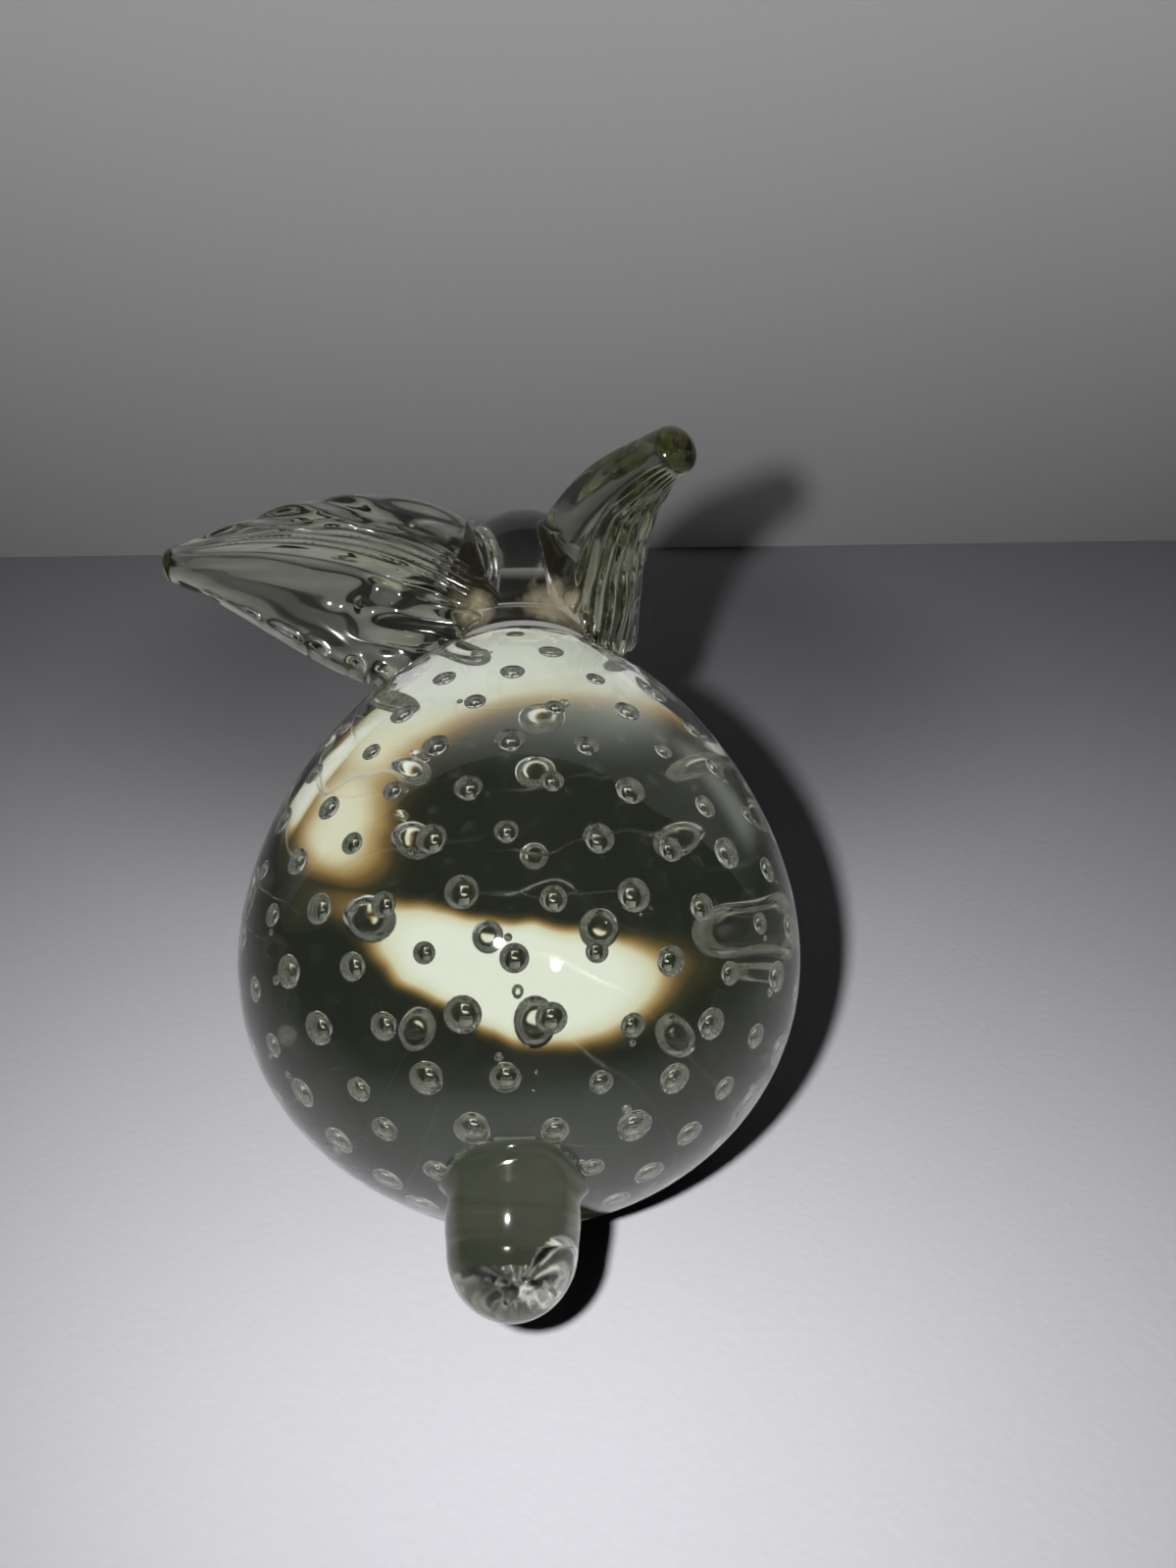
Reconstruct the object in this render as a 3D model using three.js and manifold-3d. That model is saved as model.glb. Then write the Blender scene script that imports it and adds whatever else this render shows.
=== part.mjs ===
// A glass bunny paperweight, sitting up and facing +Y. An egg of clear glass leans forward on a ground flat.
// Its core is pressed with rows of dimples, and the casing over it traps a bubble of air in each one.
// The head, two ridged ears and a stub tail are bits of hot glass laid on the casing.
// Millimetres, +Z up. The origin lies on the ground flat, straight below the widest ring of the egg.
import * as THREE from "three";
import { mergeVertices } from "three/addons/utils/BufferGeometryUtils.js";
import Module from "manifold-3d";

const wasm = await Module();
wasm.setup();
const { degToRad, lerp } = THREE.MathUtils;

// The egg of the body, its casing and the flat that is ground across both.
const BODY_RADIUS = 33.4;
const BODY_FRONT_LENGTH = 40.9;
const BODY_REAR_LENGTH = 32.2;
const BODY_TAPER = 0.024;
const BODY_SLIMMING = 0.094;
const BODY_LEAN = degToRad(44);
const CASING_WALL = 3.2;
const GROUND_PAST_CASING = 1.7;
const FUSED_GAP = 0.3;
const OUTER_SEGMENTS = 36;
const OUTER_STEPS = 20;
const INNER_SEGMENTS = 24;
const INNER_STEPS = 12;

// The dimples, in staggered rows from the narrow end to the blunt end.
const BUBBLE_FRONT_RADIUS = 1.2;
const BUBBLE_REAR_RADIUS = 1.8;
const BUBBLE_ROW_PITCH = 5.8;
const BUBBLE_PITCH = 8.2;
const BUBBLE_STRAY = 1.2;
const BUBBLE_ABOVE_FLAT = 4.5;
const BUBBLE_SIDES = 5;

// The head: an egg on a short flared neck at the narrow end of the body, nose forward and a little down.
const HEAD_RADIUS = 9.8;
const HEAD_FRONT_LENGTH = 14.5;
const HEAD_REAR_LENGTH = 10;
const HEAD_TAPER = 0.076;
const HEAD_SLIMMING = 0.212;
const HEAD_DROOP = degToRad(14);
const NECK_TOP_RADIUS = 7;
const NECK_BASE_RADIUS = 9;
const NECK_LENGTH = 8.4;
const NECK_ROOT_DEPTH = 5;

// Each ear is drawn out from its root beside the head, folded along its back and pressed with ridges.
const EAR_RIDGES = 6;
const EAR_RIDGE_DEPTH = 0.6;
const EAR_RIDGED_SHARE = 0.7;
const EAR_WIDEST = 0.36;
const EAR_STEPS = 12;
const EAR_BACK_SIDES = 30;
const EAR_FRONT_SIDES = 12;

const LEFT_EAR_LENGTH = 42;
const LEFT_EAR_WIDTH = 25;
const LEFT_EAR_ROOT_WIDTH = 12;
const LEFT_EAR_TIP_WIDTH = 3.6;
const LEFT_EAR_THICKNESS = 6;
const LEFT_EAR_FOLD = 4;
const LEFT_EAR_OUT = 4;
const LEFT_EAR_FORWARD = -2.3;
const LEFT_EAR_UP = 4.5;

const RIGHT_EAR_LENGTH = 37;
const RIGHT_EAR_WIDTH = 15;
const RIGHT_EAR_ROOT_WIDTH = 16;
const RIGHT_EAR_TIP_WIDTH = 5.2;
const RIGHT_EAR_THICKNESS = 6.5;
const RIGHT_EAR_FOLD = 6;
const RIGHT_EAR_OUT = 8;
const RIGHT_EAR_FORWARD = -0.85;
const RIGHT_EAR_UP = -2;
const RIGHT_EAR_KNOB_RADIUS = 2.8;

// The tail: a stub with a round end that droops from the back of the egg.
const TAIL_RADIUS = 6.8;
const TAIL_LENGTH = 12.5;
const TAIL_FLARE = 0.8;
const TAIL_DROOP = degToRad(38);
const TAIL_SEAT_ARC = 18.3;
const TAIL_ROOT_DEPTH = 5;
const TAIL_END_STEPS = 8;

const clearGlass = new THREE.MeshStandardMaterial({ color: 0xdfe5dc, roughness: 0.03, metalness: 0 });
const drawnGlass = new THREE.MeshStandardMaterial({ color: 0xcfd6c4, roughness: 0.05, metalness: 0 });

// Half of an egg's outline, from its blunt end to its narrow end, drawn in from the surface by an inset.
// The taper thins its front half and fills its rear half, and the slimming thins both.
class EggOutline extends THREE.Curve {
  constructor({ radius, front, rear, taper, slimming }, inset) {
    super();
    this.radius = radius - inset;
    this.middle = (front + rear) / 2 - inset;
    this.skew = (front - rear) / 2;
    this.taper = taper;
    this.slimming = slimming;
  }

  getPoint(t, target = new THREE.Vector2()) {
    const angle = Math.PI * (1 - t);
    const end = Math.cos(angle);
    const girth = 1 - end * (this.taper + end * this.slimming);
    return target.set(
      this.radius * Math.sin(angle) * girth,
      end * (this.middle + end * this.skew),
    );
  }
}

const bodyEgg = {
  radius: BODY_RADIUS,
  front: BODY_FRONT_LENGTH,
  rear: BODY_REAR_LENGTH,
  taper: BODY_TAPER,
  slimming: BODY_SLIMMING,
};
const headEgg = {
  radius: HEAD_RADIUS,
  front: HEAD_FRONT_LENGTH,
  rear: HEAD_REAR_LENGTH,
  taper: HEAD_TAPER,
  slimming: HEAD_SLIMMING,
};

// A closed geometry as a solid for joining and cutting.
function solid(geometry, frame = new THREE.Matrix4()) {
  const bare = new THREE.BufferGeometry();
  bare.setAttribute("position", geometry.getAttribute("position").clone());
  bare.setIndex(geometry.getIndex());
  bare.applyMatrix4(frame);
  const merged = mergeVertices(bare, 1e-3);
  return new wasm.Manifold(
    new wasm.Mesh({
      numProp: 3,
      vertProperties: merged.getAttribute("position").array,
      triVerts: Uint32Array.from(merged.getIndex().array),
    }),
  );
}

function meshOf(name, made, material) {
  const { vertProperties, triVerts } = made.getMesh();
  const geometry = new THREE.BufferGeometry();
  geometry.setAttribute("position", new THREE.BufferAttribute(vertProperties, 3));
  geometry.setIndex(new THREE.BufferAttribute(triVerts, 1));
  geometry.computeVertexNormals();
  const mesh = new THREE.Mesh(geometry, material);
  mesh.name = name;
  return mesh;
}

// A frame whose Y axis runs along a direction.
function frameAlong(direction, origin) {
  const turn = new THREE.Quaternion().setFromUnitVectors(new THREE.Vector3(0, 1, 0), direction);
  return new THREE.Matrix4().compose(origin, turn, new THREE.Vector3(1, 1, 1));
}

// The body leans forward about X. It is lowered until the flat cuts through the casing and into the core.
const bodyOutline = new EggOutline(bodyEgg, 0);
const bodyAxis = new THREE.Vector3(0, Math.cos(BODY_LEAN), Math.sin(BODY_LEAN));
const bodyDepth = Math.max(
  ...bodyOutline
    .getPoints(200)
    .map((point) => point.x * Math.cos(BODY_LEAN) - point.y * Math.sin(BODY_LEAN)),
);
const bodyHeight = bodyDepth - CASING_WALL - GROUND_PAST_CASING;
const bodyFrame = frameAlong(bodyAxis, new THREE.Vector3(0, 0, bodyHeight));

function bodySolid(inset, steps, segments) {
  const outline = new EggOutline(bodyEgg, inset).getPoints(steps);
  return solid(new THREE.LatheGeometry(outline, segments), bodyFrame);
}

const underside = 4 * (BODY_FRONT_LENGTH + BODY_REAR_LENGTH);
const belowFlat = solid(
  new THREE.BoxGeometry(underside, underside, underside).translate(0, 0, -underside / 2),
);

// A point on an outline turned about the body's axis, and the way out of it there. The arc is measured from
// the blunt end, and a turn of zero is the middle of the back.
function placeOn(outline, arc, turn) {
  const share = arc / outline.getLength();
  const point = outline.getPointAt(share);
  const tangent = outline.getTangentAt(share);
  const around = new THREE.Vector3(Math.sin(turn), 0, Math.cos(turn));
  return {
    centre: around.clone().multiplyScalar(point.x).setY(point.y).applyMatrix4(bodyFrame),
    outward: around.clone().multiplyScalar(tangent.y).setY(-tangent.x).transformDirection(bodyFrame),
  };
}

// Rows stand one pitch apart along the core. Every second row is turned by half a pitch.
const coreInset = CASING_WALL + FUSED_GAP / 2;

function dimples() {
  const outline = new EggOutline(bodyEgg, coreInset);
  const length = outline.getLength();
  const made = [];
  for (let row = 1; row * BUBBLE_ROW_PITCH < length - BUBBLE_ROW_PITCH / 2; row += 1) {
    const arc = length - row * BUBBLE_ROW_PITCH;
    const ringRadius = outline.getPointAt(arc / length).x;
    const radius = lerp(BUBBLE_REAR_RADIUS, BUBBLE_FRONT_RADIUS, arc / length);
    const count = Math.max(3, Math.round((2 * Math.PI * ringRadius) / BUBBLE_PITCH));
    for (let column = 0; column < count; column += 1) {
      const stray = BUBBLE_STRAY * (((made.length * 0.618034) % 1) - 0.5);
      const drift = BUBBLE_STRAY * (((made.length * 0.754878) % 1) - 0.5);
      const turn = ((column + (row % 2) / 2) * 2 * Math.PI) / count;
      made.push({ radius, ...placeOn(outline, arc + stray, turn + drift / ringRadius) });
    }
  }
  return made.filter(({ centre }) => centre.z > BUBBLE_ABOVE_FLAT);
}

function dimpledCore() {
  let core = bodySolid(coreInset, INNER_STEPS, INNER_SEGMENTS);
  for (const { centre, outward, radius } of dimples()) {
    const ball = new THREE.SphereGeometry(radius, BUBBLE_SIDES, 3);
    core = core.subtract(solid(ball, frameAlong(outward, centre)));
  }
  return core.subtract(belowFlat);
}

// The narrow end of the body, where the head and both ears meet.
const nape = new THREE.Vector3(0, BODY_FRONT_LENGTH, 0).applyMatrix4(bodyFrame);

// The neck is a short cone that widens into the body. The skull is an egg that its top end runs into.
function head(grown) {
  const height = NECK_LENGTH + NECK_ROOT_DEPTH;
  const cone = new THREE.CylinderGeometry(
    NECK_TOP_RADIUS + grown,
    NECK_BASE_RADIUS + grown,
    height,
    INNER_SEGMENTS,
  ).translate(0, NECK_LENGTH - height / 2, 0);
  const neck = solid(cone, frameAlong(bodyAxis, nape));
  const nose = direction(Math.PI / 2, -HEAD_DROOP);
  const centre = nape.clone().addScaledVector(bodyAxis, NECK_LENGTH);
  const outline = new EggOutline(headEgg, -grown).getPoints(INNER_STEPS);
  const skull = solid(new THREE.LatheGeometry(outline, INNER_SEGMENTS), frameAlong(nose, centre));
  return skull.add(neck);
}

function direction(heading, rise) {
  const level = Math.cos(rise);
  return new THREE.Vector3(level * Math.cos(heading), level * Math.sin(heading), Math.sin(rise));
}

// The places round one ring of an ear: evenly across its back, then round its front. The share runs from
// one rim to the other, and the face from the front of the leaf to its back.
const earRing = [];
for (let side = 0; side < EAR_BACK_SIDES; side += 1) {
  const share = 1 - (2 * side) / EAR_BACK_SIDES;
  earRing.push({ share, face: Math.sqrt(1 - share * share) });
}
for (let side = 0; side < EAR_FRONT_SIDES; side += 1) {
  const angle = Math.PI * (1 + side / EAR_FRONT_SIDES);
  earRing.push({ share: Math.cos(angle), face: Math.sin(angle) });
}

function ridgeHeight({ share, face }) {
  const place = share / EAR_RIDGED_SHARE;
  if (face < 0 || Math.abs(place) > 1) return 0;
  return EAR_RIDGE_DEPTH * (1 - place * place) * Math.cos(EAR_RIDGES * Math.PI * place);
}

function earSpine({ root, start, end, length }) {
  const bend = root.clone().addScaledVector(start, length / 2);
  const tip = bend.clone().addScaledVector(end, length / 2);
  return new THREE.QuadraticBezierCurve3(root, bend, tip);
}

// An ear is a loft of these rings along its spine. The leaf swells from its root and narrows to its tip,
// and its rims fold away from its back.
function earGeometry(ear) {
  const spine = earSpine(ear);
  const swell = ear.width - lerp(ear.rootWidth, ear.tipWidth, EAR_WIDEST);
  const points = [spine.getPoint(0)];
  for (let step = 0; step <= EAR_STEPS; step += 1) {
    const t = step / EAR_STEPS;
    const along = spine.getTangent(t);
    const back = ear.back.clone().addScaledVector(along, -ear.back.dot(along)).normalize();
    const across = new THREE.Vector3().crossVectors(back, along);
    const leaf = Math.sin(Math.PI * Math.pow(t, Math.log(0.5) / Math.log(EAR_WIDEST)));
    const halfWidth = (lerp(ear.rootWidth, ear.tipWidth, t) + swell * leaf) / 2;
    const halfThickness = lerp(ear.thickness, ear.tipWidth, t) / 2;
    const fade = 1 - t * t;
    for (const place of earRing) {
      const pressed = ridgeHeight(place) - ear.fold * place.share * place.share;
      const point = spine.getPoint(t).addScaledVector(across, halfWidth * place.share);
      points.push(point.addScaledVector(back, halfThickness * place.face + fade * pressed));
    }
  }
  points.push(spine.getPoint(1).addScaledVector(ear.end, ear.tipWidth / 3));
  const index = [];
  const sides = earRing.length;
  const last = points.length - 1;
  for (let side = 0; side < sides; side += 1) {
    const next = (side + 1) % sides;
    index.push(0, 1 + next, 1 + side);
    for (let step = 0; step < EAR_STEPS; step += 1) {
      const low = 1 + step * sides;
      const high = low + sides;
      index.push(low + side, low + next, high + side, low + next, high + next, high + side);
    }
    index.push(last - sides + side, last - sides + next, last);
  }
  return new THREE.BufferGeometry().setFromPoints(points).setIndex(index);
}

// The tail is turned about its own axis, which runs out and down from the back of the body.
function tail() {
  const { centre } = placeOn(bodyOutline, TAIL_SEAT_ARC, 0);
  const outline = [
    new THREE.Vector2(0, -TAIL_ROOT_DEPTH),
    new THREE.Vector2(TAIL_RADIUS + TAIL_FLARE, -TAIL_ROOT_DEPTH),
  ];
  for (let step = 0; step <= TAIL_END_STEPS; step += 1) {
    const angle = (Math.PI / 2) * (step / TAIL_END_STEPS);
    const along = TAIL_LENGTH - TAIL_RADIUS + TAIL_RADIUS * Math.sin(angle);
    outline.push(new THREE.Vector2(TAIL_RADIUS * Math.cos(angle), along));
  }
  const droop = direction(-Math.PI / 2, -TAIL_DROOP);
  return solid(new THREE.LatheGeometry(outline, INNER_SEGMENTS), frameAlong(droop, centre));
}

const seatBody = bodySolid(-FUSED_GAP, OUTER_STEPS, OUTER_SEGMENTS);
const seatHead = head(FUSED_GAP);

const leftEar = {
  root: nape.clone().add(new THREE.Vector3(-LEFT_EAR_OUT, LEFT_EAR_FORWARD, LEFT_EAR_UP)),
  start: direction(degToRad(178), degToRad(20)),
  end: direction(degToRad(176), degToRad(-3)),
  back: new THREE.Vector3(0, -0.85, 0.53),
  length: LEFT_EAR_LENGTH,
  width: LEFT_EAR_WIDTH,
  rootWidth: LEFT_EAR_ROOT_WIDTH,
  tipWidth: LEFT_EAR_TIP_WIDTH,
  thickness: LEFT_EAR_THICKNESS,
  fold: LEFT_EAR_FOLD,
};

const rightEar = {
  root: nape.clone().add(new THREE.Vector3(RIGHT_EAR_OUT, RIGHT_EAR_FORWARD, RIGHT_EAR_UP)),
  start: direction(degToRad(80), degToRad(86)),
  end: direction(degToRad(-49), degToRad(36)),
  back: new THREE.Vector3(0.15, -0.95, -0.1),
  length: RIGHT_EAR_LENGTH,
  width: RIGHT_EAR_WIDTH,
  rootWidth: RIGHT_EAR_ROOT_WIDTH,
  tipWidth: RIGHT_EAR_TIP_WIDTH,
  thickness: RIGHT_EAR_THICKNESS,
  fold: RIGHT_EAR_FOLD,
};

// The right ear ends in a round knob, where the soft glass was pinched off.
function knobbedEar(ear, radius) {
  const ball = new THREE.SphereGeometry(radius, 12, 8);
  const centre = earSpine(ear).getPoint(1).addScaledVector(ear.end, ear.tipWidth / 3 - radius);
  return solid(earGeometry(ear)).add(solid(ball, frameAlong(ear.end, centre)));
}

function seated(made) {
  return made.subtract(seatBody).subtract(seatHead);
}

const hollow = bodySolid(CASING_WALL - FUSED_GAP / 2, INNER_STEPS, INNER_SEGMENTS);
const casing = bodySolid(0, OUTER_STEPS, OUTER_SEGMENTS).subtract(hollow).subtract(belowFlat);

const bunny = new THREE.Group();
bunny.name = "glass_bunny";
bunny.add(
  meshOf("core_gather", dimpledCore(), clearGlass),
  meshOf("casing_gather", casing, clearGlass),
  meshOf("head", head(0).subtract(seatBody), clearGlass),
  meshOf("left_ear", seated(solid(earGeometry(leftEar))), drawnGlass),
  meshOf("right_ear", seated(knobbedEar(rightEar, RIGHT_EAR_KNOB_RADIUS)), drawnGlass),
  meshOf("tail", tail().subtract(seatBody), drawnGlass),
);

export default bunny;
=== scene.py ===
# %% [markdown]
# A glass bunny paperweight, seen from behind and above. The body is an egg of clear glass with rows of air
# bubbles in it. The head, the two ears and the tail are bits of hot glass that were laid on the egg.
# The solids of the part are loaded first, because every piece made here stands in their place.

import math

import bpy
import numpy as np
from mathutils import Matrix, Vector
from mathutils.bvhtree import BVHTree


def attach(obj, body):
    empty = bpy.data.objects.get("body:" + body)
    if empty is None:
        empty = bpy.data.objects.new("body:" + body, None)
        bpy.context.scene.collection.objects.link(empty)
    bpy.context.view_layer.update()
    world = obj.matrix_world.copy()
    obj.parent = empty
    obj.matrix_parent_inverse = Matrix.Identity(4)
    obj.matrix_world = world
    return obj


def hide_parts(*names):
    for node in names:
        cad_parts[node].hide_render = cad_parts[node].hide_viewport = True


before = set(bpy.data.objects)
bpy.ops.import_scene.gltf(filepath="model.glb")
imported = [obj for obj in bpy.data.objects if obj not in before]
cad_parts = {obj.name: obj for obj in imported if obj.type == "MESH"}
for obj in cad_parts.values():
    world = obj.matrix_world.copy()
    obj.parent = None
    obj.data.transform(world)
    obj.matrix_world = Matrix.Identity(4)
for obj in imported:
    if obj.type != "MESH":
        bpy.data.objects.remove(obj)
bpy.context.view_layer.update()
MM = 0.001
print("solids:", sorted(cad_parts))

# %% [markdown]
# The camera stands behind the bunny, about 11 cm above the table, and looks down at its back. Its place was
# found by laying the outline of the solids over the outline in the photograph. A phone has a short lens, so
# the frame takes in about 67 degrees from top to bottom.

# %% The camera
CAMERA_PLACE = (6.4, -117.3, 114.2)
CAMERA_PITCH = math.radians(28.4)
CAMERA_YAW = math.radians(0.77)
CAMERA_LENS = 27.02

scene = bpy.context.scene
scene.view_settings.view_transform = "Standard"
camera = bpy.data.objects.new("camera", bpy.data.cameras.new("camera"))
camera.data.lens = CAMERA_LENS
camera.data.sensor_width = 36.0
camera.data.clip_start = 0.005
camera.location = [MM * side for side in CAMERA_PLACE]
camera.rotation_euler = (math.pi / 2 - CAMERA_PITCH, 0.0, -CAMERA_YAW)
scene.collection.objects.link(camera)
scene.camera = camera
print("camera at", CAMERA_PLACE, "mm")

# %% [markdown]
# Shader maths is easier to read as a sum than as a row of boxes. A Wire stands for one socket of a shader
# tree: adding or multiplying wires adds the Math nodes, and node() makes any other node from its settings
# and from the values or wires of its sockets.


# %% Shader maths as Python
class Wire:
    """One output socket of a shader tree, or the bare tree where the socket is None."""

    def __init__(self, tree, socket=None):
        self.tree = tree
        self.socket = socket

    def node(self, kind, settings, inputs, output=0):
        made = self.tree.nodes.new(kind)
        for name, value in settings.items():
            if name == "stops":
                set_stops(made.color_ramp, value)
            else:
                setattr(made, name, value)
        for name, value in inputs.items():
            if isinstance(value, Wire):
                self.tree.links.new(value.socket, made.inputs[name])
            else:
                made.inputs[name].default_value = value
        return Wire(self.tree, made.outputs[output])

    def maths(self, operation, first, second=0.0):
        return self.node("ShaderNodeMath", {"operation": operation}, {0: first, 1: second})

    def __add__(self, other):
        return self.maths("ADD", self, other)

    def __radd__(self, other):
        return self.maths("ADD", other, self)

    def __sub__(self, other):
        return self.maths("SUBTRACT", self, other)

    def __rsub__(self, other):
        return self.maths("SUBTRACT", other, self)

    def __mul__(self, other):
        return self.maths("MULTIPLY", self, other)

    def __rmul__(self, other):
        return self.maths("MULTIPLY", other, self)

    def clamped(self):
        return self.node("ShaderNodeClamp", {}, {"Value": self})

    def larger(self, other):
        return self.maths("MAXIMUM", self, other)

    def eased(self, start, stop):
        """From 0 at the start to 1 at the stop, with a soft bend at both."""
        inputs = {"Value": self, "From Min": start, "From Max": stop}
        return self.node("ShaderNodeMapRange", {"interpolation_type": "SMOOTHSTEP"}, inputs)

    def blended(self, low, high):
        """A colour between two others, by this wire."""
        inputs = {"Factor": self, 6: low, 7: high}
        return self.node("ShaderNodeMix", {"data_type": "RGBA"}, inputs, output=2)

    def noise(self, scale, detail):
        """Soft noise, where this wire is a place."""
        return self.node("ShaderNodeTexNoise", {}, {"Vector": self, "Scale": scale, "Detail": detail})

    def part(self, axis):
        """The X, Y or Z of a place."""
        return self.node("ShaderNodeSeparateXYZ", {}, {"Vector": self}, output=axis)

    def joined_to(self, node, name="Surface"):
        self.tree.links.new(self.socket, node.inputs[name])


def set_stops(ramp, stops):
    while len(ramp.elements) < len(stops):
        ramp.elements.new(1.0)
    for element, (place, colour) in zip(ramp.elements, stops):
        element.position = place
        element.color = colour


def new_material(name):
    """A new material, as (material, a wire with the place on its object in metres, its output node)."""
    material = bpy.data.materials.new(name)
    material.use_nodes = True
    tree = material.node_tree
    tree.nodes.clear()
    place = Wire(tree).node("ShaderNodeTexCoord", {}, {}, output="Object")
    return material, place, tree.nodes.new("ShaderNodeOutputMaterial")


def glow_in(shade, output):
    """Makes a material that only glows, in one shade."""
    shade.node("ShaderNodeEmission", {}, {"Color": shade}).joined_to(output)


print("shader maths ready")

# %% [markdown]
# The table is pale lilac-grey paper and the wall behind it is plain grey. Paper is never quite even, so a
# slow noise shifts its shade and a fine one gives it tooth. Behind the bunny the table's colour is darkened
# by a patch of painted shade, where little of the lamp's light falls, which lets the clear ears stand out.
# The
# wall gets lighter towards the top: a faint glow does that for the eye, and for what is seen in the glass,
# but it lights nothing.


# %% Table and wall
SEEING_RAYS = ("Is Camera Ray", "Is Glossy Ray", "Is Transmission Ray")
TABLE_SPAN = 1.6
TABLE_DROP = 0.15
WALL_DISTANCE = 254.0
WALL_TURN = math.radians(2)
WALL_GLOW = 0.30
GLOW_RISE = (-0.05, 0.3)
SHADE_PATCH_PLACE = 0.16
SHADE_PATCH_REACH = 0.13
SHADE_PATCH_EDGE = 0.5
SHADE_PATCH_SHARE = 0.36
TABLE_GRAIN = 900.0
WALL_GRAIN = 300.0


def seen_by_eye(place):
    """1 for rays from the camera and for rays that glass or gloss sends on, 0 for light."""
    rays = [place.node("ShaderNodeLightPath", {}, {}, output=name) for name in SEEING_RAYS]
    return sum(rays).clamped()


def painted_shade_patch(place):
    """1 in the middle of the patch of painted shade behind the bunny, falling to 0 at its reach."""
    inputs = {"Vector": place, "Location": (0, -SHADE_PATCH_PLACE / SHADE_PATCH_REACH, 0), "Scale": [1 / SHADE_PATCH_REACH] * 3}
    spot = place.node("ShaderNodeMapping", {}, inputs)
    near = place.node("ShaderNodeTexGradient", {"gradient_type": "SPHERICAL"}, {"Vector": spot}, output=1)
    return near.eased(0.0, SHADE_PATCH_EDGE)


def paper(name, dark, pale, grain, glow):
    """Paper or paint that seems to glow a little, more and more up to a hand's length above the table, with a
    patch of painted shade behind the bunny.
    """
    material, place, output = new_material(name)
    shine = place.part("Z").eased(*GLOW_RISE) * glow * seen_by_eye(place)
    # Painted shade: the paper's colour is darkened in a patch behind the bunny.
    painted_shade = painted_shade_patch(place) * SHADE_PATCH_SHARE
    cloud = place.noise(9.0, 3.0)
    tooth = place.noise(grain, 4.0)
    bump = place.node("ShaderNodeBump", {}, {"Height": tooth, "Strength": 0.25, "Distance": 0.0002})
    shader = place.node(
        "ShaderNodeBsdfPrincipled",
        {},
        {
            "Base Color": painted_shade.blended((cloud * 0.7 + tooth * 0.3).blended(dark, pale), (0, 0, 0, 1)),
            "Roughness": 0.85,
            "Specular IOR Level": 0.1,
            "Emission Color": shine.blended((0, 0, 0, 1), (1, 0.98, 0.99, 1)),
            "Emission Strength": 1.0,
            "Normal": bump,
        },
    )
    shader.joined_to(output)
    return material


def sheet(name, corners, material):
    """A flat four-cornered piece of the stage."""
    mesh = bpy.data.meshes.new(name)
    mesh.from_pydata(corners, [], [(0, 1, 2, 3)])
    mesh.materials.append(material)
    made = bpy.data.objects.new(name, mesh)
    scene.collection.objects.link(made)
    return made


half = TABLE_SPAN / 2
low = -TABLE_DROP * MM
far = WALL_DISTANCE * MM
sheet(
    "table",
    [(-half, -half, low), (half, -half, low), (half, half, low), (-half, half, low)],
    paper("table_paper", (0.60, 0.59, 0.63, 1), (0.72, 0.71, 0.75, 1), TABLE_GRAIN, glow=0.0),
)
wall = sheet(
    "wall",
    [(-half, 0, 2 * low), (half, 0, 2 * low), (half, 0, half), (-half, 0, half)],
    paper("wall_paint", (0.40, 0.395, 0.395, 1), (0.47, 0.465, 0.465, 1), WALL_GRAIN, glow=WALL_GLOW),
)
wall.location.y = far
wall.rotation_euler.z = WALL_TURN
print("wall", WALL_DISTANCE, "mm behind the bunny")

# %% [markdown]
# One small round lamp stands beside the camera, to its left. It points higher and further right than the
# camera does, so the near edge of the table lies towards the rim of its beam. A dim grey world fills the
# shade. Light that is bent by glass on its way to the table is left out, because following it is slow and
# grainy. So the shadow stays dark, and the light that the egg would gather is put back in a later step.

# %% Lamp and world
LAMP_SIDE = -20.0
LAMP_RISE = 7.0
LAMP_RADIUS = 3.5
LAMP_BEAM = math.radians(178)
LAMP_TILT = math.radians(18)
LAMP_TURN = math.radians(12)
LAMP_WATTS = 1.36

camera_turn = camera.rotation_euler.to_matrix()
lamp_data = bpy.data.lights.new("lamp", "SPOT")
lamp_data.shadow_soft_size = LAMP_RADIUS * MM
lamp_data.spot_size = LAMP_BEAM
lamp_data.spot_blend = 1.0
lamp_data.energy = LAMP_WATTS
lamp = bpy.data.objects.new("lamp", lamp_data)
lamp.location = camera.location + camera_turn @ Vector((LAMP_SIDE, LAMP_RISE, 0.0)) * MM
lamp.rotation_euler = (camera.rotation_euler.x + LAMP_TILT, 0.0, camera.rotation_euler.z - LAMP_TURN)
lamp.visible_camera = False
scene.collection.objects.link(lamp)

world = bpy.data.worlds.new("room")
world.use_nodes = True
room = Wire(world.node_tree)
camera_ray = room.node("ShaderNodeLightPath", {}, {}, output="Is Camera Ray")
room_shade = camera_ray.blended((0.004, 0.004, 0.0045, 1), (0.22, 0.22, 0.225, 1))
room_shade.joined_to(room.tree.nodes["Background"], "Color")
scene.world = world
scene.cycles.caustics_reflective = False
scene.cycles.caustics_refractive = False
scene.cycles.max_bounces = 32
scene.cycles.transmission_bounces = 32
scene.cycles.glossy_bounces = 12
scene.cycles.diffuse_bounces = 3
print("lamp of", LAMP_WATTS, "watts")

# %% [markdown]
# Clear glass is one Principled shader with full transmission. What makes it look like real glass is what is
# wrong with it: faint cords left by stirring shift its colour, fine scratches and smears dull it here and
# there, and a slow ripple bends what is seen through it. The depth of the glass takes a little red and more
# blue, so thick and folded glass turns olive. Old dust sits where hot bits were joined, so the dusty glass
# mixes in a dull brown-grey wherever a mask around each joint says so.


# %% The glass finishes
GLASS_IOR = 1.5
CORD_STRETCH = (1.0, 0.35, 1.0)
FAINT_GREEN = ((0.88, 0.93, 0.75, 1), 3.0)
OLIVE = ((0.78, 0.79, 0.62, 1), 120.0)
CLEAR = (0.985, 0.99, 0.97, 1)


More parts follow.
